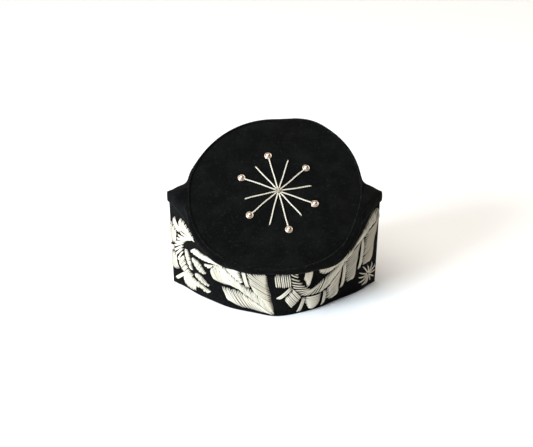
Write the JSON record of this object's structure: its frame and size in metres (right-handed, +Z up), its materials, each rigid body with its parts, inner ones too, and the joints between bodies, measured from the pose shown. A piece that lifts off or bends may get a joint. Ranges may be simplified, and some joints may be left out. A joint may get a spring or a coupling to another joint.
{
  "type": "fila cap",
  "caption": "Brimless velvet cap: stiff embroidered side band creased at both ends, soft round flat crown leaning forward over it, with a star of laid cord and domed studs.",
  "frame": {"origin": "on the surface that the cap stands on, under the middle of its overall box", "axes": "+X to the right from one crease to the other, -Y towards the front where the crown hangs low, +Z up"},
  "size_m": [0.239, 0.164, 0.1747],
  "materials": {
    "band_velvet": "black velvet over a stiff backing, with raised cream embroidery",
    "crown_velvet": "plain black velvet, soft",
    "stud_metal": "polished, pinkish silver"
  },
  "bodies": {
    "root": {"side_band": "band_velvet", "crown_side": "crown_velvet", "crown_top": "crown_velvet", "stud_1": "stud_metal", "stud_2": "stud_metal", "stud_3": "stud_metal", "stud_4": "stud_metal", "stud_5": "stud_metal", "stud_6": "stud_metal"}
  },
  "joints": []
}
